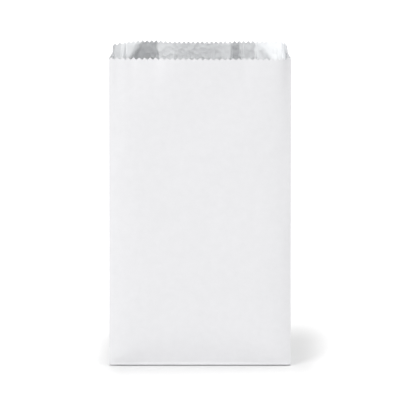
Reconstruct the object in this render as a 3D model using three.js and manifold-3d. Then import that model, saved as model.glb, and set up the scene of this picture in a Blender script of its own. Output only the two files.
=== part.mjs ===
// Foil lined paper bag: one sheet of white paper laminated to aluminium foil, glued into a
// tube with folded side gussets, pinched and folded over at the bottom, and cut with a saw
// edge at the mouth. It stands on its squared-out bottom with the mouth open.
// Millimetres, +Z up, front towards -Y, +X to the right seen from the front.
import * as THREE from "three";
import { mergeVertices } from "three/addons/utils/BufferGeometryUtils.js";
import Module from "manifold-3d";

// The sheet and the flat size of the bag
const BAG_WIDTH = 178; // flat width of the front and back panels
const BAG_HEIGHT = 312; // from the bottom fold to the tips of the saw edge
const GUSSET_WIDTH = 51; // both halves of one side gusset
const WALL = 0.8; // the real laminate is about 0.1

// Side gussets: the centre fold lies inwards near the bottom and is nearly flat at the mouth
const GUSSET_SINK_BASE = 14;
const GUSSET_SINK_MOUTH = 2;
const GUSSET_APEX = 20; // height of the triangle that folds up from the bottom

// Front panel: flat with soft sides, drawn in to the straight bottom fold
const FRONT_BELLY = 7; // how far the middle stands in front of the corner folds
const FRONT_BOW_MOUTH = 4;
const FRONT_FLATNESS = 6; // power of the bow: the higher, the flatter the middle
const FRONT_LEAN = 6; // how far the mouth's corner folds stand in front of the bottom fold
const LENS_HEIGHT = 30; // height of the arched crease over the bottom fold, in the middle
const LENS_END = 3; // its height at the corner folds
const FRONT_SPANS = 16;

// Back panel: a shallow arc in the body, bent in flat facets at the mouth
const BACK_BELLY = 13;
const CORNER_PULL = 3.5; // how far the back corner folds are drawn in at the mouth
const LEFT_FACET = 38; // how far each corner facet reaches down its corner fold
const RIGHT_FACET = 31;
const LEFT_TURN = 10.5; // distances of the bends from the left corner fold, at the mouth
const LEFT_SHOULDER = 26.5;
const LEFT_CREASE = 42.5;
const LEFT_DENT = 60.5;
const RIGHT_TURN = 8.5; // and from the right corner fold
const RIGHT_SHOULDER = 29.5;
const LEFT_TURN_DEPTH = 9.5; // how far the bends stand behind the corner folds
const LEFT_SHOULDER_DEPTH = 16.5;
const RIGHT_DEPTH = 15.5;
const DENT_DEPTH = 12;

// Lap seam down the back, and the glued flap that is folded under the bottom
const SEAM_FROM_RIGHT = 49; // middle of the seam, from the right corner fold
const SEAM_WIDTH = 11;
const SEAM_STEP = 0.4; // how far the raw edge of the outer layer stands up
const SEAM_EDGE = 0.4; // width of the slope at that raw edge
const FLAP_DEPTH = 25;
const FLAP_STEP = 0.5; // thickness of the flap's free edge
const FLOOR = 1.6; // the bottom is several layers of the sheet

// Saw edge of the mouth
const TOOTH_DEPTH = 2.4;
const FRONT_TEETH = 33;
const BACK_TEETH = 38;
const GUSSET_TEETH = 10;
const CUT_MARGIN = 1; // how far the cutter reaches past the wall

const BODY_ROWS = 6; // rows of flat spans from the arched crease to the corner facets

const halfWidth = BAG_WIDTH / 2;
const mouthHalf = halfWidth - CORNER_PULL;
const halfGusset = GUSSET_WIDTH / 2;
const facetHeight = Math.max(LEFT_FACET, RIGHT_FACET);

const wasm = await Module();
wasm.setup();

const mix = THREE.MathUtils.lerp;

// Depth of an open gusset whose centre fold lies sink inwards
function gussetDepth(sink) {
  return 2 * Math.sqrt(halfGusset ** 2 - sink ** 2);
}

const baseDepth = gussetDepth(GUSSET_SINK_BASE);
const mouthDepth = gussetDepth(GUSSET_SINK_MOUTH);

// Columns of the back panel from right to left. share is the place across the panel, from
// -1 at the left corner fold to 1 at the right one; depth is how far the mouth stands
// behind the corner folds there; raise lifts the outer layer of the lap seam.
const seamLeft = mouthHalf - SEAM_FROM_RIGHT - SEAM_WIDTH / 2;
const seamRight = mouthHalf - SEAM_FROM_RIGHT + SEAM_WIDTH / 2;
const rightShoulder = mouthHalf - RIGHT_SHOULDER;
const leftDent = LEFT_DENT - mouthHalf;
const seamDepth = mix(
  DENT_DEPTH, RIGHT_DEPTH, (seamRight - seamLeft) / (rightShoulder - seamLeft)
);
const backColumns = [
  { x: mouthHalf, depth: 0 },
  { x: mouthHalf - RIGHT_TURN, depth: RIGHT_DEPTH, facet: 1 },
  { x: rightShoulder, depth: RIGHT_DEPTH },
  { x: seamRight + SEAM_EDGE, depth: seamDepth },
  { x: seamRight, depth: seamDepth, raise: SEAM_STEP },
  { x: seamLeft, depth: DENT_DEPTH },
  { x: (seamLeft + leftDent) / 2, depth: DENT_DEPTH },
  { x: leftDent, depth: DENT_DEPTH },
  { x: LEFT_CREASE - mouthHalf, depth: LEFT_SHOULDER_DEPTH },
  { x: LEFT_SHOULDER - mouthHalf, depth: LEFT_SHOULDER_DEPTH },
  { x: LEFT_TURN - mouthHalf, depth: LEFT_TURN_DEPTH, facet: -1 },
  { x: -mouthHalf, depth: 0 },
].map((column) => ({ raise: 0, facet: 0, ...column, share: column.x / mouthHalf }));

// Front panel at one height: bow is how far its middle stands forward
function frontPoints(bow, heightAt) {
  return Array.from({ length: FRONT_SPANS + 1 }, (_, i) => {
    const share = (2 * i) / FRONT_SPANS - 1;
    const y = -bow * (1 - Math.abs(share) ** FRONT_FLATNESS);
    return new THREE.Vector3(share * halfWidth, y, heightAt(share));
  });
}

// Back panel as a shallow arc, from the right corner fold to the left one
function backArc(depth, belly, heightAt) {
  return backColumns.map(({ share }) => {
    const y = depth + belly * (1 - share ** 2);
    return new THREE.Vector3(share * halfWidth, y, heightAt(share));
  });
}

// The whole ring: front, right gusset, back, left gusset
function ring(front, back, sink, foldHeight) {
  const fold = (corner, backCorner, side) => {
    const middle = corner.clone().add(backCorner).multiplyScalar(0.5);
    return new THREE.Vector3(middle.x - side * sink, middle.y, foldHeight);
  };
  return [
    ...front,
    fold(front.at(-1), back[0], 1),
    ...back,
    fold(front[0], back.at(-1), -1),
  ];
}

const archHeight = (share) => mix(LENS_HEIGHT, LENS_END, share ** 2);
const sinkAt = (z) => mix(GUSSET_SINK_BASE, GUSSET_SINK_MOUTH, z / BAG_HEIGHT);
const bowAt = (z) => mix(FRONT_BELLY, FRONT_BOW_MOUTH, z / BAG_HEIGHT);

// The bag leans forwards as it opens, so that its back stands nearly upright
function lean(points) {
  return points.map((p) => p.clone().setY(p.y - (FRONT_LEAN * p.z) / BAG_HEIGHT));
}

// A ring of the body, where both panels are shallow curves
function bodyRing(z, heightAt = () => z) {
  const sink = sinkAt(z);
  const back = backArc(gussetDepth(sink), BACK_BELLY, heightAt);
  return lean(ring(frontPoints(bowAt(z), heightAt), back, sink, z));
}

// The mouth, whose back panel is bent at the rim and drawn in at its corners
function mouthRing() {
  const front = frontPoints(FRONT_BOW_MOUTH, () => BAG_HEIGHT);
  const back = backColumns.map(
    ({ x, depth }) => new THREE.Vector3(x, mouthDepth + depth, BAG_HEIGHT)
  );
  return lean(ring(front, back, GUSSET_SINK_MOUTH, BAG_HEIGHT));
}

const backStart = FRONT_SPANS + 2; // place of the right back corner fold in a ring

// Halfway down the corner facets, whose lower edges run slanting from the shoulders
function facetRing(foot, mouth) {
  const middle = foot.map((p, i) => p.clone().add(mouth[i]).multiplyScalar(0.5));
  backColumns.forEach((column, i) => {
    if (!column.facet) return;
    const corner = column.facet > 0 ? 0 : backColumns.length - 1;
    const shoulder = i + (column.facet > 0 ? 1 : -1);
    middle[backStart + i]
      .addVectors(foot[backStart + corner], mouth[backStart + shoulder])
      .multiplyScalar(0.5);
  });
  return middle;
}

// Rings of the outer face from the bottom fold to just above the mouth
function outerRings() {
  const level = () => 0;
  const base = ring(frontPoints(0, level), backArc(baseDepth, 0, level), 0, 0);
  const arch = bodyRing(GUSSET_APEX, archHeight);
  const footHeight = (share) => BAG_HEIGHT - mix(LEFT_FACET, RIGHT_FACET, (share + 1) / 2);
  const bodyTop = BAG_HEIGHT - facetHeight;
  const body = Array.from({ length: BODY_ROWS }, (_, i) =>
    bodyRing(mix(LENS_HEIGHT, bodyTop, (i + 1) / (BODY_ROWS + 1)))
  );
  const foot = bodyRing(bodyTop, footHeight);
  const mouth = mouthRing();
  const middle = facetRing(foot, mouth);
  const above = mouth.map((p) => p.clone().setZ(BAG_HEIGHT + CUT_MARGIN));
  return [base, arch, ...body, foot, middle, mouth, above];
}

// The same ring moved sideways by distance, outwards if positive
function offsetRing(points, distance) {
  const count = points.length;
  return points.map((p, i) => {
    const before = points[(i + count - 1) % count];
    const after = points[(i + 1) % count];
    const inEdge = new THREE.Vector2(p.x - before.x, p.y - before.y).normalize();
    const outEdge = new THREE.Vector2(after.x - p.x, after.y - p.y).normalize();
    const normal = new THREE.Vector2(inEdge.y + outEdge.y, -inEdge.x - outEdge.x);
    normal.multiplyScalar(distance / (1 + inEdge.dot(outEdge)));
    return new THREE.Vector3(p.x + normal.x, p.y + normal.y, p.z);
  });
}

// The wall between two neighbouring rings; faces look outwards on a counterclockwise ring.
// slantAt tells which spans have their diagonal from the lower first to the upper second.
function wallFaces(lower, upper, slantAt = () => false) {
  return lower.flatMap((p, i) => {
    const next = (i + 1) % lower.length;
    const [a, b, c, d] = [p, lower[next], upper[next], upper[i]];
    return slantAt(i) ? [a, b, c, a, c, d] : [a, b, d, b, c, d];
  });
}

// A fan over a ring from a point inside it, looking up
function fanFaces(points, centre) {
  return points.flatMap((p, i) => [centre, p, points[(i + 1) % points.length]]);
}

// The same faces looking the other way
function flipped(faces) {
  const turned = [];
  for (let i = 0; i < faces.length; i += 3) turned.push(faces[i], faces[i + 2], faces[i + 1]);
  return turned;
}

// A closed geometry of loose triangles as a solid, for cutting
function solidOf(geometry) {
  const bare = geometry.index ? geometry.toNonIndexed() : geometry.clone();
  bare.deleteAttribute("normal");
  bare.deleteAttribute("uv");
  const merged = mergeVertices(bare);
  const vertProperties = merged.getAttribute("position").array;
  const triVerts = new Uint32Array(merged.index.array);
  return new wasm.Manifold(new wasm.Mesh({ numProp: 3, vertProperties, triVerts }));
}

const solidOfFaces = (faces) => solidOf(new THREE.BufferGeometry().setFromPoints(faces));

// Which way the diagonal of a span leans: it rises towards the middle of its panel, and in
// a gusset towards the centre fold
function slants(i) {
  const onFront = i < FRONT_SPANS / 2;
  const onBack = i >= backStart && i < backStart + backColumns.length / 2 - 1;
  return onFront || onBack || i === FRONT_SPANS || i === backStart + backColumns.length - 1;
}

// The bag before its mouth is cut: outer and inner walls, floor and the rim between them
function bagShell() {
  const outer = outerRings();
  const inner = outer.map((points) => offsetRing(points, -WALL));
  const shares = inner[1].map((p) => FLOOR / p.z);
  inner[0] = inner[0].map((p, i) => p.clone().lerp(inner[1][i], shares[i]));
  for (const points of outer) {
    backColumns.forEach(({ raise }, i) => (points[backStart + i].y += raise));
  }
  const centre = new THREE.Vector3(0, baseDepth / 2, 0);
  const faces = [...flipped(fanFaces(outer[0], centre))];
  faces.push(...fanFaces(inner[0], centre.clone().setZ(FLOOR)));
  for (let k = 0; k + 1 < outer.length; k++) {
    faces.push(...wallFaces(outer[k], outer[k + 1], slants));
    faces.push(...flipped(wallFaces(inner[k], inner[k + 1], slants)));
  }
  faces.push(...wallFaces(outer.at(-1), inner.at(-1)));
  return solidOfFaces(faces);
}

// Points of one panel's saw edge along its stretch of the rim, with tip or notch heights.
// The last point is left to the next panel.
function sawEdge(stretch, teeth) {
  const path = new THREE.CurvePath();
  for (let i = 0; i + 1 < stretch.length; i++) {
    path.add(new THREE.LineCurve3(stretch[i], stretch[i + 1]));
  }
  return Array.from({ length: 2 * teeth }, (_, i) => {
    const height = i % 2 ? BAG_HEIGHT : BAG_HEIGHT - TOOTH_DEPTH;
    return path.getPointAt(i / (2 * teeth)).setZ(height);
  });
}

// A band that follows the rim, with the teeth as its lower edge
function sawCutter() {
  const rim = mouthRing();
  const backEnd = backStart + backColumns.length - 1;
  const edge = [
    ...sawEdge(rim.slice(0, FRONT_SPANS + 1), FRONT_TEETH),
    ...sawEdge(rim.slice(FRONT_SPANS, backStart + 1), GUSSET_TEETH),
    ...sawEdge(rim.slice(backStart, backEnd + 1), BACK_TEETH),
    ...sawEdge([rim[backEnd], rim[backEnd + 1], rim[0]], GUSSET_TEETH),
  ];
  const outside = offsetRing(edge, CUT_MARGIN);
  const inside = offsetRing(edge, -WALL - CUT_MARGIN);
  const lift = (points) => points.map((p) => p.clone().setZ(BAG_HEIGHT + 2 * CUT_MARGIN));
  return solidOfFaces([
    ...wallFaces(outside, lift(outside)),
    ...wallFaces(lift(outside), lift(inside)),
    ...wallFaces(lift(inside), inside),
    ...wallFaces(inside, outside),
  ]);
}

// The sliver of air under the base behind the glued flap, which is a step lower
function flapStep() {
  const reach = baseDepth - FLAP_DEPTH;
  const profile = new THREE.Shape([
    new THREE.Vector2(FLAP_DEPTH, -CUT_MARGIN),
    new THREE.Vector2(FLAP_DEPTH + reach, -CUT_MARGIN),
    new THREE.Vector2(FLAP_DEPTH + reach, 0),
    new THREE.Vector2(FLAP_DEPTH, FLAP_STEP),
  ]);
  const length = BAG_WIDTH + 2 * CUT_MARGIN;
  const wedge = new THREE.ExtrudeGeometry(profile, { depth: length, bevelEnabled: false });
  wedge.applyMatrix4(
    new THREE.Matrix4().makeBasis(
      new THREE.Vector3(0, 1, 0), new THREE.Vector3(0, 0, 1), new THREE.Vector3(1, 0, 0)
    )
  );
  return solidOf(wedge.translate(-length / 2, 0, 0));
}

// Whitened laminate, seen from outside
const whitePaper = new THREE.MeshStandardMaterial({
  color: 0xededef,
  roughness: 0.62,
  metalness: 0,
});

const bagMesh = bagShell().subtract(sawCutter()).subtract(flapStep()).getMesh();
const bagGeometry = new THREE.BufferGeometry();
bagGeometry.setAttribute("position", new THREE.BufferAttribute(bagMesh.vertProperties, 3));
bagGeometry.setIndex(new THREE.BufferAttribute(bagMesh.triVerts, 1));

// The origin is on the floor, under the middle of the bag
bagGeometry.computeBoundingBox();
const { min, max } = bagGeometry.boundingBox;
bagGeometry.translate(-(min.x + max.x) / 2, -(min.y + max.y) / 2, -min.z);
bagGeometry.computeVertexNormals();

const bag = new THREE.Mesh(bagGeometry, whitePaper);
bag.name = "bag";

const foilLinedBag = new THREE.Group();
foilLinedBag.add(bag);
export default foilLinedBag;
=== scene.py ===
# %% [markdown]
# # A foil lined paper bag
# A takeaway bag stands open on its folded bottom. It is one sheet: white kraft paper outside,
# aluminium foil inside, glued into a tube with a gusset folded into each side. The knife that
# cuts the tube leaves a saw edge at the mouth. This lesson makes that sheet as a thin skin with
# two finishes, lights it like a product photograph and looks down on it a little.
#
# Such a bag could be opened from its flat pattern by a cloth simulation, or pulled out of a box
# by hand. Here each panel is a flat grid, and a short function carries its points to their place.
# The folds then lie where the solid model has them, and every run gives the same bag.

# %% Load the solid model
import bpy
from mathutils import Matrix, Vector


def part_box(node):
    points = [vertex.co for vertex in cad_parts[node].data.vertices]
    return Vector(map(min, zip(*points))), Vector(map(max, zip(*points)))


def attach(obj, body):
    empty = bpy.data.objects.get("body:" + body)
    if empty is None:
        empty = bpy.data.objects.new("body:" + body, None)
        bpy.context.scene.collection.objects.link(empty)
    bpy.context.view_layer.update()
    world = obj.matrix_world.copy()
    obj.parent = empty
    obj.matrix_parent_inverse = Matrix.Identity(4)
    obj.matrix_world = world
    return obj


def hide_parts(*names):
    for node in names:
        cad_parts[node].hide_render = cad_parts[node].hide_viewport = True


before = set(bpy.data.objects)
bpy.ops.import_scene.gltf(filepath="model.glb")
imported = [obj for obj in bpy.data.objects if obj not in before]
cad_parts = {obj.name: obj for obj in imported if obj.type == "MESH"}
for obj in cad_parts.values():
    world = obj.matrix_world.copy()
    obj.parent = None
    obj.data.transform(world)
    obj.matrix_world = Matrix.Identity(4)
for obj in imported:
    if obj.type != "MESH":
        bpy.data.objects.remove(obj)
print("the solid model is loaded")

# %% [markdown]
# ## Measures from the solid model
# The solid model gives the true size and the places of the corner folds. They are read from it
# here, and not typed in again, so that this bag stands exactly where the solid one does.

# %% Measure the solid bag
import math

import bpy
import numpy as np
from mathutils import Vector, noise

MM = 0.001
TOUCH = 0.05 * MM  # points nearer than this lie in one place
NEAR_MOUTH = 4 * MM
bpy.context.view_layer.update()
low, high = (Vector(corner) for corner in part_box("bag"))
solid = bpy.data.objects["bag"]
WIDTH = high.x - low.x
HEIGHT = high.z - low.z
HALF = WIDTH / 2
side_points = [v.co for v in solid.data.vertices if v.co.x > HALF - TOUCH]
FRONT_FOOT = min(p.y for p in side_points if p.z < MM)  # the corner folds' place at the bottom
FRONT_HEAD = min(p.y for p in side_points if p.z > HEIGHT - NEAR_MOUTH)  # and at the mouth
print("bag", round(WIDTH / MM), "x", round(HEIGHT / MM), "mm, front folds at",
      round(FRONT_FOOT / MM, 1), "mm below and", round(FRONT_HEAD / MM, 1), "mm above")

# %% [markdown]
# ## The folds
# Folded paper keeps its length, so the whole bag follows from its folds. Four corner folds run
# from the bottom to the mouth, and each gusset has a centre fold that is pushed in near the
# bottom and almost flat at the mouth. The depth of an open gusset comes from the width of its two
# halves, by Pythagoras. The folds could be drawn as curves, but every panel asks for their place
# at every height, and a function answers that at once.

# %% Folds of the gussets
GUSSET = 51 * MM
SINK_BASE = 14 * MM
SINK_MOUTH = 2 * MM
APEX = 20 * MM  # top of the triangle that folds up from the bottom
CORNER_PULL = 3.5 * MM  # the mouth draws the back corner folds together
LEFT_FACET = 38 * MM  # reach of the corner facets down the back corner folds
RIGHT_FACET = 31 * MM


def mix(a, b, share):
    return a + (b - a) * share


def clamp(value, least=0.0, most=1.0):
    return max(least, min(most, value))


def ease(value):
    """0 to 1 without a corner at either end."""
    t = clamp(value)
    return t * t * (3 - 2 * t)


def sink_at(z):
    return mix(SINK_BASE, SINK_MOUTH, z / HEIGHT)


def gusset_depth(z):
    return 2 * math.sqrt((GUSSET / 2) ** 2 - sink_at(z) ** 2)


def facet_share(side, z):
    """How far up a corner facet a height lies: 0 at its foot, 1 at the mouth."""
    reach = RIGHT_FACET if side > 0 else LEFT_FACET
    return clamp((z - HEIGHT + reach) / reach)


def front_line(z):
    return mix(FRONT_FOOT, FRONT_HEAD, z / HEIGHT)


def front_fold(side, z):
    return Vector((side * HALF, front_line(z), z))


def back_fold(side, z):
    x = HALF - CORNER_PULL * facet_share(side, z)
    return Vector((side * x, front_line(z) + gusset_depth(z), z))


def centre_fold(side, z):
    middle = (front_fold(side, z) + back_fold(side, z)) / 2
    middle.x -= side * sink_at(z) * min(1.0, z / APEX)
    return middle


print("gusset depth at the bottom", round(gusset_depth(0) / MM, 1), "mm, at the mouth",
      round(gusset_depth(HEIGHT) / MM, 1), "mm")

# %% [markdown]
# ## The panels
# The front panel is flat with soft sides. Just over the bottom fold it is drawn in below an
# arched crease, as a bag is whose bottom was pinched flat before it was opened. The fold itself
# stands out as a narrow lip. This could be sculpted, but a formula keeps the paper smooth and the
# corner folds straight, and each of its values is one thing that can be seen on the bag.

# %% Shape of the front panel
FRONT_BELLY = 4.2 * MM  # how far the panel stands out, near the bottom
FRONT_BOW = 4 * MM  # and at the mouth
FLATNESS = 7  # a high power is flat across and turns in only near the sides
ARCH = 30 * MM  # height of the arched crease in the middle
ARCH_END = 3 * MM  # and at the sides
LIP = 1.1 * MM
LIP_TOP = 3.4 * MM
LIP_END = 3 * MM


def arch_height(share):
    return mix(ARCH, ARCH_END, share * share)


def soft_rise(t, softness=0.4):
    """t up to 1 and then 1, with a rounded crease between."""
    if t >= 1 + softness:
        return 1.0
    if t <= 1 - softness:
        return t
    return 1 - (1 + softness - t) ** 2 / (4 * softness)


def lip(share, z):
    """The lip runs out at the corners, so that the front still meets the gussets there.

    It stands out in the first tenth of its height and goes back evenly over the last eight.
    """
    out = clamp((1 - abs(share)) * HALF / LIP_END)
    return out * LIP * float(np.interp(z / LIP_TOP, [0, 0.1, 0.2, 1], [0, 1, 1, 0]))


def front_bow(share, z):
    belly = mix(FRONT_BELLY, FRONT_BOW, z / HEIGHT)
    return belly * (1 - abs(share) ** FLATNESS) * soft_rise(z / arch_height(share)) + lip(share, z)


print("the front stands out", round(front_bow(0, HEIGHT / 2) / MM, 1), "mm half-way up and",
      round(front_bow(0, LIP_TOP) / MM, 1), "mm just over its lip")

# %% [markdown]
# The back panel is a shallow arc. At the mouth it was bent by the hand that opened the bag, and
# it stands in flat facets there, which the foil shows as patches of light and dark. Each facet
# has a lean: one that leans back faces the sky and is brighter than one that stands upright and
# faces the dark inside. Each also has its own share of crumples, which scatter light: the corners
# were squeezed most, and the flat strips beside the creases least. The edges between facets are
# creases, and some of them run slanting towards the corner folds. They could be folded into the
# mesh one by one. Here a table lists them from left to right, so that one can be moved without
# the rest.

# %% Shape of the back panel
BACK_BELLY = 13 * MM
WAIST = 4.5 * MM  # the arc is this much shallower under the facets
SEAM = (31 * MM, 42 * MM)  # the lap runs from the first place across to the second
SEAM_STEP = 0.5 * MM  # a few times the real step, so that it shows
MOUTH_HALF = HALF - CORNER_PULL
CORNER_FADE = 4 * MM  # a facet stands upright again this near to a corner fold
RIM_BENDS = [  # along the rim from left to right: place across, and depth behind the folds
    (-85.5, 0), (-82, 4.2), (-77.5, 9.5), (-69, 13.5), (-60, 16.8), (-43, 16.8), (-25, 12.2),
    (30.5, 12.2), (39, 13.4), (55, 13.8), (65, 16.5), (80.5, 16.8), (82, 8), (85.5, 0),
]
FACETS = [  # left edge at the rim, its drift per mm downwards, its crease's width, and the
    # lean and the crumpling of the facet
    (-95, 0, 2, 0.43, 1.0), (-73, 0, 1.5, 0.23, 0.8), (-71.4, 0, 1.5, 0.33, 1.0),
    (-57.6, -0.48, 9, 0.01, 0.04),
    (-42.3, 0.13, 1.6, 0.065, 0.38), (-14, 0.20, 6, 0.06, 0.35), (22, 0, 3, 0.09, 0.38),
    (30.4, 0, 1.2, -0.01, 0.06), (38.8, 0, 1.6, 0.06, 0.35), (54.4, 0, 2.5, 0.20, 0.85),
    (54.4, 0.64, 9, 0.37, 1.0), (65, 0.48, 3, 0.36, 0.9), (72, 0.2, 3, 0.42, 1.0),
    (81, 0, 1.2, 0.3, 0.2),
]
LEAN, CRUMPLING = 3, 4  # where these two stand in a facet's row
FACET_REACH = 20 * MM  # the facets keep their lean this far down
FACET_END = 62 * MM  # and have gone back to the arc here

rim_x = [x * MM for x, _ in RIM_BENDS]
rim_depth = [depth * MM for _, depth in RIM_BENDS]


def facet_value(x, below, item):
    """The lean or the crumpling at a place across and below the rim."""
    value = FACETS[0][item]
    for before, facet in zip(FACETS, FACETS[1:]):
        edge, drift, width = facet[0] * MM, facet[1], facet[2] * MM
        value += (facet[item] - before[item]) * ease((x - edge - drift * below) / width + 0.5)
    return value


def back_bow(share, z):
    below = HEIGHT - z
    x = share * MOUTH_HALF
    belly = BACK_BELLY - WAIST * ease(z / HEIGHT)
    arc = belly * (1 - share * share) * soft_rise(z / arch_height(share))
    reach = min(below, FACET_REACH)
    lean = facet_value(x, reach, LEAN) * clamp((MOUTH_HALF - abs(x)) / CORNER_FADE)
    facet = float(np.interp(x, rim_x, rim_depth)) - lean * reach
    return mix(facet, arc, ease((below - FACET_REACH) / (FACET_END - FACET_REACH)))


print(len(RIM_BENDS), "bends in the back's rim and", len(FACETS), "facets below it")

# %% [markdown]
# Real paper is never quite even. Slow waves, a few tenths of a millimetre high, run through the
# panels, and upright ripples hang below the cut edge, where the paper was opened by hand. They
# fade to nothing at the folds, which stay straight. A Displace modifier with a noise texture
# could make the waves, but it would need a mask to leave the folds alone.

# %% Waves in the paper
SLOW_WAVE = (45 * MM, 75 * MM)  # width and height of a wave
FINE_WAVE = (16 * MM, 28 * MM)
FINE_SEED = 7  # keeps the fine waves apart from the slow ones
RIPPLES = [  # place across, half-width, and how far the rim is pushed back there, in mm
    (-60, 26, 1.5), (-81, 6, 0.7), (-66, 5, 1.0), (-43, 8, 1.5), (16, 18, -1.0), (44, 7, 0.8),
    (78, 12, -2.2),
]
RIPPLE_REACH = 50 * MM
RIPPLE_SPREAD = 0.35  # ripples reach down by this share more or less
FOLD_FADE = 0.10  # the paper is even within this share of a half panel from a fold
FOOT_FADE = 12 * MM


def waves(x, z, seed):
    slow = noise.noise(Vector((x / SLOW_WAVE[0], z / SLOW_WAVE[1], seed)))
    fine = noise.noise(Vector((x / FINE_WAVE[0], z / FINE_WAVE[1], seed + FINE_SEED)))
    return (0.8 * slow + 0.2 * fine) * MM


def ripples(x, z):
    """How far the front panel is pushed back near the mouth, in fans that narrow downwards."""
    pushed = 0.0
    for place, width, depth in RIPPLES:
        uneven = noise.noise(Vector((place * 0.37, 2.1, 4.2)))  # any fixed place in the noise
        reach = RIPPLE_REACH * (1 + RIPPLE_SPREAD * uneven)
        up = clamp(1 - (HEIGHT - z) / reach)
        spread = width * (0.5 + 0.5 * up)
        pushed += depth * MM * up ** 1.6 * math.exp(-(((x / MM - place) / spread) ** 2))
    return pushed


def fold_fade(share, z):
    """0 on the folds and on the bottom, 1 in the open paper."""
    return ease((1 - abs(share)) / FOLD_FADE) * ease(z / FOOT_FADE)


print(len(RIPPLES), "ripples hang", round(RIPPLE_REACH / MM), "mm down from the rim")

# %% [markdown]
# ## From a flat grid to a panel
# Each panel starts as the flat grid that the paper itself is, with a few columns for each tooth
# of the saw edge. The rows lie closer together near the bottom and the mouth, where the creases
# are. The teeth could be cut with a Boolean and a row of wedges, which leaves long thin faces.
# Here the top row of the grid is moved up and down instead, and the faces stay clean.

# %% Rows and columns
TOOTH = 2.4 * MM
TOOTH_UNEVEN = 0.35 * MM  # the knife cuts some teeth shorter
BELOW_TEETH = 0.6 * MM  # from the notches down to the first straight row
COLUMNS_PER_TOOTH = 4
FRONT_TEETH = 33
BACK_TEETH = 38
GUSSET_TEETH = 10
LIP_ROWS = (0, 0.4, 0.8, 1.3, 2, 2.8, 3.6)  # heights in mm
CREASE_ROWS, CREASE_FOOT, CREASE_TOP = 19, 5 * MM, 40 * MM  # through the arched crease
BODY_ROWS = 50
MOUTH_ROWS, MOUTH_DEPTH = 34, 48 * MM  # through the facets


def row_heights():
    rim_line = HEIGHT - TOOTH - BELOW_TEETH
    crease_rows = np.linspace(CREASE_FOOT, CREASE_TOP, CREASE_ROWS)
    body_rows = np.linspace(CREASE_TOP, HEIGHT - MOUTH_DEPTH, BODY_ROWS)
    mouth_rows = np.linspace(HEIGHT - MOUTH_DEPTH, rim_line, MOUTH_ROWS)
    return [*np.array(LIP_ROWS) * MM, *crease_rows, *body_rows[1:], *mouth_rows[1:], HEIGHT]


HEIGHTS = row_heights()
print(len(HEIGHTS), "rows in each panel")

# %% [markdown]
# One function makes any panel: it adds the grid and sends each point to the place that another
# function gives for it. That other function is told how far across the panel the point lies, from
# -1 to 1, and how high.

# %% A grid of paper


def saw_height(column, seed):
    """Height of the cut edge at a column: tips half-way between notches."""
    phase = (column % COLUMNS_PER_TOOTH) / COLUMNS_PER_TOOTH
    tip = 1 - abs(2 * phase - 1)
    uneven = TOOTH_UNEVEN * noise.noise(Vector((column * 0.7, seed, 0.5)))
    return HEIGHT - TOOTH * (1 - tip) - abs(uneven) * tip


def panel(name, teeth, place, seed):
    """A grid of paper whose point at (share across, height) goes to place(share, z)."""
    columns = teeth * COLUMNS_PER_TOOTH
    rows = len(HEIGHTS) - 1
    bpy.ops.mesh.primitive_grid_add(x_subdivisions=columns, y_subdivisions=rows, size=2)
    piece = bpy.context.object
    piece.name = name
    for vertex in piece.data.vertices:
        column = round((vertex.co.x + 1) / 2 * columns)
        row = round((vertex.co.y + 1) / 2 * rows)
        z = saw_height(column, seed) if row == rows else HEIGHTS[row]
        vertex.co = place(2 * column / columns - 1, z)
    print(name, "has", len(piece.data.polygons), "faces")
    return piece


# %% [markdown]
# ## The walls
# The front and the back hang between their two corner folds. The back also carries the lap seam:
# it rises over the lap's width and drops at its glued edge. A gusset has a crease down its
# middle, and a crease needs a row of edges along it, so each gusset is made as two halves that
# meet in its centre fold. The gussets are stiffer than the panels, so their waves are lower.

# %% Make the walls


def front_place(share, z):
    left, right = front_fold(-1, z), front_fold(1, z)
    point = left.lerp(right, (share + 1) / 2)
    uneven = waves(point.x, z, 1.0) - ripples(point.x, z)
    point.y -= front_bow(share, z) + uneven * fold_fade(share, z)
    return point


def back_place(share, z):
    left, right = back_fold(-1, z), back_fold(1, z)
    point = left.lerp(right, (share + 1) / 2)
    seam_place = share * MOUTH_HALF
    lap = SEAM_STEP * clamp((seam_place - SEAM[0]) / (SEAM[1] - SEAM[0]))
    if seam_place > SEAM[1]:
        lap = 0.0
    uneven = 0.7 * waves(point.x, z, 5.0)
    point.y += back_bow(share, z) + lap + uneven * fold_fade(share, z)
    return point


def gusset_place(side, half):
    """One half of a gusset: -1 is the half at the front, 1 the half at the back."""

    def place(share, z):
        across = (share + 1) / 2
        corner = front_fold(side, z) if half < 0 else back_fold(side, z)
        fold = centre_fold(side, z)
        start, end = (corner, fold) if half < 0 else (fold, corner)
        point = start.lerp(end, across)
        uneven = 0.5 * waves(point.y * 1.7, z, 9.0 + side + half) * fold_fade(share, z)
        point.x += side * uneven
        return point

    return place


bpy.ops.object.select_all(action="DESELECT")
walls = [
    panel("front_panel", FRONT_TEETH, front_place, 1),
    panel("back_panel", BACK_TEETH, back_place, 2),
]
for side in (-1, 1):
    for half in (-1, 1):
        name = "gusset_" + ("left" if side < 0 else "right") + ("_front" if half < 0 else "_back")
        walls.append(panel(name, GUSSET_TEETH // 2, gusset_place(side, half), 3 + side + half))

# %% [markdown]
# ## The bottom
# The end of the tube was folded over and glued, and that flap lies under the bag as its base.
# The panel behind it starts one step higher and comes down to the floor again at the back fold.
# The base is one more grid, with the columns of the front panel and the rows of a gusset, so that
# their points meet. The back panel has other columns, so the grid stops one row short of it, and
# that gap is bridged once all is one mesh.

# %% Make the bottom
FLAP_DEPTH = 25 * MM
FLAP_STEP = 0.5 * MM  # a few times the real step, as for the seam
STEP_END = 4 * MM  # the step runs out this near to a gusset
BOTTOM_DEPTH = gusset_depth(0)
BOTTOM_ROWS = GUSSET_TEETH * COLUMNS_PER_TOOTH


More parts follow.
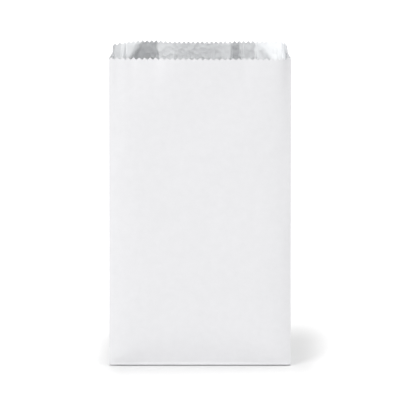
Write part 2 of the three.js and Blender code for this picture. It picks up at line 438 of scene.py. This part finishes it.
def bottom_place(share, depth):
    behind = clamp((BOTTOM_DEPTH - depth) / (BOTTOM_DEPTH - FLAP_DEPTH))
    step = FLAP_STEP * behind if depth > FLAP_DEPTH else 0.0
    z = step * clamp((1 - abs(share)) * HALF / STEP_END)
    return Vector((share * HALF, FRONT_FOOT + depth, z))


bpy.ops.object.select_all(action="DESELECT")
bpy.ops.mesh.primitive_grid_add(x_subdivisions=FRONT_TEETH * COLUMNS_PER_TOOTH,
                                y_subdivisions=BOTTOM_ROWS - 1, size=2)
bottom = bpy.context.object
bottom.name = "bottom_panel"
for vertex in bottom.data.vertices:
    row = round((vertex.co.y + 1) / 2 * (BOTTOM_ROWS - 1))
    vertex.co = bottom_place(vertex.co.x, BOTTOM_DEPTH * row / BOTTOM_ROWS)
print("bottom has", len(bottom.data.polygons), "faces")

# %% [markdown]
# ## One sheet
# The real bag is one piece of paper, so its panels become one surface, open at the mouth. They
# are joined, and the points that they share are merged.

# %% Join the panels
bpy.ops.object.select_all(action="DESELECT")
for piece in (*walls, bottom):
    piece.select_set(True)
bpy.context.view_layer.objects.active = walls[0]
bpy.ops.object.join()
sheet = bpy.context.object
sheet.name = "bag_sheet"
bpy.ops.object.transform_apply(location=True, rotation=True, scale=True)
bpy.ops.object.mode_set(mode="EDIT")
bpy.ops.mesh.select_all(action="SELECT")
bpy.ops.mesh.remove_doubles(threshold=TOUCH)
bpy.ops.object.mode_set(mode="OBJECT")
print("joined:", len(sheet.data.vertices), "points")

# %% [markdown]
# One slit is left, between the bottom and the back. Its two sides have different numbers of
# points, so merging can't close it, and Bridge Edge Loops can. All open edges are selected first,
# and those at the mouth and in the gussets are then left out: the slit's edges lie on the floor
# and don't run along a side. With the surface whole, its faces are turned outwards.

# %% Bridge the bottom to the back
SIDE_BAND = 0.1 * MM  # an edge whose ends are both this near to a side belongs to a gusset
bpy.ops.object.mode_set(mode="EDIT")
bpy.ops.mesh.select_all(action="DESELECT")
bpy.ops.mesh.select_mode(type="EDGE")
bpy.ops.mesh.select_non_manifold(extend=False, use_wire=False, use_multi_face=False,
                                 use_non_contiguous=False, use_verts=False)
bpy.ops.object.mode_set(mode="OBJECT")
points = sheet.data.vertices
for edge in sheet.data.edges:
    start, end = (points[i].co for i in edge.vertices)
    at_side = min(abs(start.x), abs(end.x)) > HALF - SIDE_BAND
    edge.select = edge.select and max(start.z, end.z) < MM and not at_side
print("bridged:", sum(edge.select for edge in sheet.data.edges), "edges")
bpy.ops.object.mode_set(mode="EDIT")
bpy.ops.mesh.bridge_edge_loops()
bpy.ops.mesh.select_all(action="SELECT")
bpy.ops.mesh.normals_make_consistent(inside=False)
bpy.ops.object.mode_set(mode="OBJECT")
print("sheet:", len(sheet.data.vertices), "points")

# %% [markdown]
# The bottom was folded flat in the pack and never quite lies down again: its front fold stands a
# little over the floor, and a dark line shows under it. The points near the fold are moved up by
# a height that runs out behind it and above it, as a proportional edit by hand would do.

# %% Raise the front fold
RAISE = 0.75 * MM
RAISE_DEPTH = 5 * MM
RAISE_TOP = 16 * MM
for vertex in sheet.data.vertices:
    behind = clamp((vertex.co.y - FRONT_FOOT) / RAISE_DEPTH)
    above = clamp(vertex.co.z / RAISE_TOP)
    vertex.co.z += RAISE * (1 - behind) ** 2 * (1 - above)
print("the front fold stands", round(RAISE / MM, 2), "mm over the floor")

# %% [markdown]
# The front also slid down a little as it bowed forwards, so the back's saw edge stands higher.
# The points of the mouth are lifted more and more towards the back, in the same way.

# %% Lift the back of the mouth
BACK_RISE = 1.7 * MM
RISE_DEPTH = 70 * MM
for vertex in sheet.data.vertices:
    across = clamp((vertex.co.y - FRONT_HEAD) / gusset_depth(HEIGHT))
    vertex.co.z += BACK_RISE * across * ease(1 - (HEIGHT - vertex.co.z) / RISE_DEPTH)
print("highest point:", round(max(v.co.z for v in sheet.data.vertices) / MM, 1), "mm")

# %% [markdown]
# ## Materials
# Every colour is written as it looks on a screen and turned to linear light by one function. One
# more function adds a node with its settings and links, and is all that the materials need. A
# texture's scale is how many of its patches fit in a metre, because the patterns follow Object
# coordinates, which are in metres here. Each material says beside a scale how wide that is.

# %% Colours and nodes


def linear(hex_colour):
    """An sRGB colour such as #EDEDEF as linear red, green, blue and alpha."""
    values = [int(hex_colour[i:i + 2], 16) / 255 for i in (1, 3, 5)]
    return [v / 12.92 if v <= 0.04045 else ((v + 0.055) / 1.055) ** 2.4 for v in values] + [1.0]


def node(material, kind, links=None, **settings):
    """Add a node. A setting that names an input sets it, any other is set on the node."""
    made = material.node_tree.nodes.new(kind)
    for key, value in settings.items():
        if hasattr(made, key):
            setattr(made, key, value)
        else:
            made.inputs[key.replace("_", " ")].default_value = value
    for key, socket in (links or {}).items():
        material.node_tree.links.new(socket, made.inputs[key])
    return made


def new_material(name):
    material = bpy.data.materials.new(name)
    material.use_nodes = True
    material.node_tree.nodes.clear()
    return material


def finish_material(material, shader):
    node(material, "ShaderNodeOutputMaterial", {"Surface": shader.outputs[0]})
    print(material.name, "has", len(material.node_tree.nodes), "nodes")
    return material


# %% [markdown]
# **Bleached kraft paper.** White takeaway paper is about 40 g/m2, calendered on one side. It is
# nearly matt, faintly cloudy where its fibres lie unevenly, and cockled by the glue behind it.
# The clouds are about 7 mm wide and the cockles 6 mm. The fibre bumps are half a millimetre wide
# and twice as high, because fibres lie along the web: that is coarser than real, so that they
# still show. A photograph of paper would do as well, but a pattern from noise fits any size.

# %% The paper outside


def bleached_kraft():
    paper = new_material("bleached_kraft_paper")
    place = node(paper, "ShaderNodeTexCoord").outputs["Object"]
    clouds = node(paper, "ShaderNodeTexNoise", {"Vector": place},
                  Scale=140.0, Detail=4.0, Roughness=0.6)  # 7 mm
    tint = node(paper, "ShaderNodeMix", {"Factor": clouds.outputs["Fac"]}, data_type="RGBA")
    tint.inputs[6].default_value = linear("#E9E9EB")
    tint.inputs[7].default_value = linear("#F0F0F2")
    stretch = node(paper, "ShaderNodeMapping", {"Vector": place})
    stretch.inputs["Scale"].default_value = (1.0, 1.0, 0.45)
    fibres = node(paper, "ShaderNodeTexNoise", {"Vector": stretch.outputs[0]},
                  Scale=1900.0, Detail=3.0, Roughness=0.55)  # 0.5 mm
    cockle = node(paper, "ShaderNodeTexNoise", {"Vector": place},
                  Scale=170.0, Detail=2.0, Roughness=0.5)  # 6 mm
    rough = node(paper, "ShaderNodeMapRange", {"Value": fibres.outputs["Fac"]},
                 To_Min=0.52, To_Max=0.68)
    fine_bump = node(paper, "ShaderNodeBump", {"Height": fibres.outputs["Fac"]},
                     Strength=0.12, Distance=0.05 * MM)
    bump = node(paper, "ShaderNodeBump",
                {"Height": cockle.outputs["Fac"], "Normal": fine_bump.outputs[0]},
                Strength=0.35, Distance=0.35 * MM)
    shader = node(paper, "ShaderNodeBsdfPrincipled",
                  {"Base Color": tint.outputs[2], "Roughness": rough.outputs[0],
                   "Normal": bump.outputs[0]}, IOR=1.5)
    shader.inputs["Specular IOR Level"].default_value = 0.35
    return finish_material(paper, shader)


paper_outside = bleached_kraft()

# %% [markdown]
# **Aluminium foil lining.** Foil of 7 micrometres is bright but soft: glued to paper it takes up
# every cockle of the sheet and creases wherever it was bent. Its reflections are broken up into
# small dull patches. Two bumps make them: flat-sided crumples about 5 mm wide, bent a little by a
# noise so that no straight line shows, and a grain about 1 mm wide from rolling and from the
# glue. The large bends are in the mesh, but crumples this small would need many more faces there.
# How dull the foil is comes from a note on each point of the sheet, which a later cell writes.

# %% The foil inside
WARP = 0.008  # how far the crumples follow the noise: 0 is not at all, 1 is all


def aluminium_foil():
    foil = new_material("aluminium_foil_lining")
    place = node(foil, "ShaderNodeTexCoord").outputs["Object"]
    warp = node(foil, "ShaderNodeTexNoise", {"Vector": place}, Scale=60.0, Detail=2.0)  # 17 mm
    bent = node(foil, "ShaderNodeMix", data_type="VECTOR")
    bent.inputs["Factor"].default_value = WARP
    foil.node_tree.links.new(place, bent.inputs[4])
    foil.node_tree.links.new(warp.outputs["Color"], bent.inputs[5])
    crumple = node(foil, "ShaderNodeTexVoronoi", {"Vector": bent.outputs[1]},
                   feature="F1", Scale=190.0)  # 5 mm
    grain = node(foil, "ShaderNodeTexNoise", {"Vector": place},
                 Scale=900.0, Detail=3.0, Roughness=0.6)  # 1.1 mm
    crumpled = node(foil, "ShaderNodeAttribute", attribute_name="crumpling")
    rough = node(foil, "ShaderNodeMapRange", {"Value": crumpled.outputs["Fac"]},
                 To_Min=0.38, To_Max=0.82)
    grain_bump = node(foil, "ShaderNodeBump", {"Height": grain.outputs["Fac"]},
                      Strength=0.25, Distance=0.08 * MM)
    bump = node(foil, "ShaderNodeBump",
                {"Height": crumple.outputs["Distance"], "Normal": grain_bump.outputs[0]},
                Strength=0.4, Distance=0.6 * MM)
    shader = node(foil, "ShaderNodeBsdfPrincipled",
                  {"Roughness": rough.outputs[0], "Normal": bump.outputs[0]}, Metallic=1.0)
    shader.inputs["Base Color"].default_value = linear("#EEEFF0")
    return finish_material(foil, shader)


foil_inside = aluminium_foil()

# %% [markdown]
# **Cut edge.** The saw knife leaves a raw edge in which white fibre shows and the foil's edge
# glints. It is a little brighter and rougher than the face of the paper, and frayed in patches
# of 0.4 mm. The paper's own material could cover it, but then the teeth would hardly show
# against the panel behind them.

# %% The cut edge


def cut_edge():
    edge = new_material("cut_paper_edge")
    place = node(edge, "ShaderNodeTexCoord").outputs["Object"]
    fray = node(edge, "ShaderNodeTexNoise", {"Vector": place}, Scale=2500.0, Detail=2.0)  # 0.4 mm
    tint = node(edge, "ShaderNodeMix", {"Factor": fray.outputs["Fac"]}, data_type="RGBA")
    tint.inputs[6].default_value = linear("#E4E4E6")
    tint.inputs[7].default_value = linear("#F8F8F8")
    bump = node(edge, "ShaderNodeBump", {"Height": fray.outputs["Fac"]},
                Strength=0.4, Distance=0.05 * MM)
    shader = node(edge, "ShaderNodeBsdfPrincipled",
                  {"Base Color": tint.outputs[2], "Normal": bump.outputs[0]}, Roughness=0.75)
    return finish_material(edge, shader)


saw_cut = cut_edge()

# %% [markdown]
# ## Thickness and finishes
# Paper and foil are glued face to face, so the sheet has a finish on each side and a third on
# its edge. The Solidify modifier gives the surface its thickness inwards, and its two material
# offsets put the second material on the new inner face and the third on the rim. A copy of the
# sheet set inwards would do the same with more work at the mouth. Shading is smooth, but the
# folds and the facets' creases are sharper than the smoothing angle and stay crisp.

# %% Dress the sheet
SHEET = 0.3 * MM  # three times the real laminate, so that its cut edge still shows
CREASE_ANGLE = math.radians(13)
sheet.data.materials.clear()
for material in (paper_outside, foil_inside, saw_cut):
    sheet.data.materials.append(material)
for face in sheet.data.polygons:
    face.material_index = 0
solidify = sheet.modifiers.new("thickness", "SOLIDIFY")
solidify.thickness = SHEET
solidify.offset = -1
solidify.use_even_offset = True
solidify.material_offset = 1
solidify.material_offset_rim = 2
bpy.ops.object.select_all(action="DESELECT")
sheet.select_set(True)
bpy.context.view_layer.objects.active = sheet
bpy.ops.object.modifier_apply(modifier=solidify.name)
for vertex in sheet.data.vertices:
    vertex.co.z = max(vertex.co.z, 0.0)  # the thickened folds stay on the floor

bpy.ops.object.shade_smooth_by_angle(angle=CREASE_ANGLE)
print("sheet:", len(sheet.data.polygons), "faces")

# %% [markdown]
# Every point of the sheet also gets a note of how crumpled the foil is there, from the facet that
# it lies in. The foil material reads that note and is duller where the foil is crumpled. The note
# is an attribute, which goes with the mesh wherever it goes. Away from the back's facets it has
# one middle value.

# %% Note how crumpled the foil is at each point
EVEN_CRUMPLING = 0.5
crumpling = sheet.data.attributes.new("crumpling", "FLOAT", "POINT")
for vertex, note in zip(sheet.data.vertices, crumpling.data):
    below = min(HEIGHT - vertex.co.z, FACET_REACH)
    deep = ease((HEIGHT - vertex.co.z - FACET_REACH) / (FACET_END - FACET_REACH))
    on_back = vertex.co.y > front_line(vertex.co.z) + gusset_depth(vertex.co.z) - MM
    note.value = EVEN_CRUMPLING
    if on_back:
        note.value = mix(facet_value(vertex.co.x, below, CRUMPLING), EVEN_CRUMPLING, deep)
print("crumpling noted at", len(crumpling.data), "points")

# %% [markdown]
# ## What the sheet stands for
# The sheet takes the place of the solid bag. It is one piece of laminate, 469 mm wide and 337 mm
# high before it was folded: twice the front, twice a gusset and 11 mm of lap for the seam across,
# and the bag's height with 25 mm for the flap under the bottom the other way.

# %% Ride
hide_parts("bag")
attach(sheet, "root")

# %% [markdown]
# ## The photograph's view
# The bag is seen from the front and a little above with a long lens, so that its sides stay
# upright and its front looks as wide at the bottom as at the top. An orthographic camera would
# do nearly the same, but loses the last trace of perspective. The scale is set so that the bag's
# width takes up 182 pixels of a picture of 400, which brings its sides to where the photograph
# has them.

# %% Camera
ELEVATION = math.radians(13.6)
DISTANCE = 12.0
BAG_PIXELS = 182.0
IMAGE_PIXELS = 400
SENSOR = 36  # mm
AIM = Vector((0, (FRONT_FOOT + FRONT_HEAD) / 2, 167.9 * MM))
frame_width = WIDTH * IMAGE_PIXELS / BAG_PIXELS
camera_data = bpy.data.cameras.new("view")
camera_data.sensor_width = SENSOR
camera_data.lens = SENSOR * DISTANCE / frame_width
camera_data.clip_end = 50
camera = bpy.data.objects.new("view", camera_data)
bpy.context.scene.collection.objects.link(camera)
camera.location = AIM + DISTANCE * Vector((0, -math.cos(ELEVATION), math.sin(ELEVATION)))
camera.rotation_euler = (math.pi / 2 - ELEVATION, 0, 0)
bpy.context.scene.camera = camera
print("lens", round(camera_data.lens), "mm at", DISTANCE, "m")

# %% [markdown]
# ## A white studio
# The floor is pale and matt and keeps the bag's soft shadow from the lamps. More lamps would turn
# it white, but the white bag would be burnt out first. So a little light is added to the floor for
# those rays alone that the camera sends, straight, by a reflection or through something clear, and
# the bag gets none of it. The added light is nothing in a box beside the bag, grows quickly over
# the next 45 mm and then slowly up to 300 mm away, and it grows more slowly to the front and the
# back than to the sides, because the camera sees those distances shortened. So the soft shadow
# is partly cast by the lamps and partly painted: its outline and its fading around the box are
# painted shade, left where the added light is held back near the bag.

# %% Floor
FLOOR_SIZE = 16
# painted shadow: this box and the ramps below set where the floor stays dark beside the bag
SHADOW_MIDDLE = (0.012, 0.024, 0)  # of the box on the floor in which nothing is added
SHADOW_HALF = (0.085, 0.044, 0)  # half of that box's width and depth
DEPTH_SHARE = 0.4
NEAR_END, NEAR_LIFT = 45 * MM, 0.3
FAR_START, FAR_END, FAR_LIFT = 30 * MM, 300 * MM, 0.35


def seen_by_camera(material):
    """1 for a ray that the camera sends, also by a reflection or through glass, else 0."""
    path = node(material, "ShaderNodeLightPath")
    seen = path.outputs["Is Camera Ray"]
    for ray in ("Is Glossy Ray", "Is Transmission Ray"):
        either = node(material, "ShaderNodeMath", {0: seen, 1: path.outputs[ray]},
                      operation="MAXIMUM")
        seen = either.outputs[0]
    return seen


def away_from_shadow(material):
    """How far a place on the floor lies outside the box of the shadow."""
    place = node(material, "ShaderNodeTexCoord").outputs["Object"]
    steps = (("SUBTRACT", SHADOW_MIDDLE), ("ABSOLUTE", (0, 0, 0)), ("SUBTRACT", SHADOW_HALF),
             ("MAXIMUM", (0, 0, 0)), ("MULTIPLY", (1, DEPTH_SHARE, 1)))
    for operation, values in steps:
        step = node(material, "ShaderNodeVectorMath", {0: place}, operation=operation)
        step.inputs[1].default_value = values
        place = step.outputs[0]
    return node(material, "ShaderNodeVectorMath", {0: place}, operation="LENGTH").outputs["Value"]


def white_sweep():
    sweep = new_material("white_sweep")
    away = away_from_shadow(sweep)
    near = node(sweep, "ShaderNodeMapRange", {"Value": away},
                From_Max=NEAR_END, To_Min=0.0, To_Max=NEAR_LIFT, interpolation_type="SMOOTHSTEP")
    far = node(sweep, "ShaderNodeMapRange", {"Value": away},
               From_Min=FAR_START, From_Max=FAR_END, To_Min=0.0, To_Max=FAR_LIFT)
    lift = node(sweep, "ShaderNodeMath", {0: near.outputs[0], 1: far.outputs[0]}, operation="ADD")
    lift = node(sweep, "ShaderNodeMath", {0: seen_by_camera(sweep), 1: lift.outputs[0]},
                operation="MULTIPLY")
    matt = node(sweep, "ShaderNodeBsdfDiffuse", Color=linear("#E8E8E8"))
    # painted light: held back near the bag, which leaves painted shade around it
    glow = node(sweep, "ShaderNodeEmission", {"Strength": lift.outputs[0]})
    both = node(sweep, "ShaderNodeAddShader", {0: matt.outputs[0], 1: glow.outputs[0]})
    return finish_material(sweep, both)


bpy.ops.mesh.primitive_plane_add(size=FLOOR_SIZE)
floor = bpy.context.object
floor.name = "studio_floor"
floor.data.materials.append(white_sweep())

# %% [markdown]
# The world stands in for the white walls of a studio. It fills the shadows evenly at six tenths
# of white, and the camera and the foil see it as white.

# %% World
FILL = 0.6
world = bpy.data.worlds.new("studio")
bpy.context.scene.world = world
world.use_nodes = True
world.node_tree.nodes.clear()
level = node(world, "ShaderNodeMapRange", {"Value": seen_by_camera(world)},
             To_Min=FILL, To_Max=1.0)
sky = node(world, "ShaderNodeBackground", {"Strength": level.outputs[0]},
           Color=linear("#FFFFFF"))
node(world, "ShaderNodeOutputWorld", {"Surface": sky.outputs[0]})
print("the world fills at", FILL)

# %% [markdown]
# ## Lamps
# One large soft lamp stands in front and to the left. It gives the front its brighter left side
# and the bag its shadow to the right. A smaller one hangs over the bag and lights the facets that
# lean back, the saw edge and the floor. Both are area lamps, whose size makes the shadows soft. A
# sun or a point lamp would draw them with hard edges.

# %% Lamps


def softbox(name, place, target, size, power):
    """A square lamp of so many metres and watts that looks from its place at a target."""
    light = bpy.data.lights.new(name, "AREA")
    light.shape = "SQUARE"
    light.size = size
    light.energy = power
    lamp = bpy.data.objects.new(name, light)
    bpy.context.scene.collection.objects.link(lamp)
    lamp.location = place
    lamp.rotation_euler = (Vector(target) - Vector(place)).to_track_quat("-Z", "Y").to_euler()
    print(name, "lamp:", size, "m,", power, "W")


softbox("key", (-2.2, -2.3, 2.1), (0, 0, 0.15), 2.0, 49)
softbox("top", (0.3, -0.1, 2.2), (0, 0, 0.1), 1.4, 21)

# %% [markdown]
# ## Colours as they are
# The Standard view shows colours as they are written, where the default view would dull the
# white paper.

# %% View
bpy.context.scene.view_settings.view_transform = "Standard"
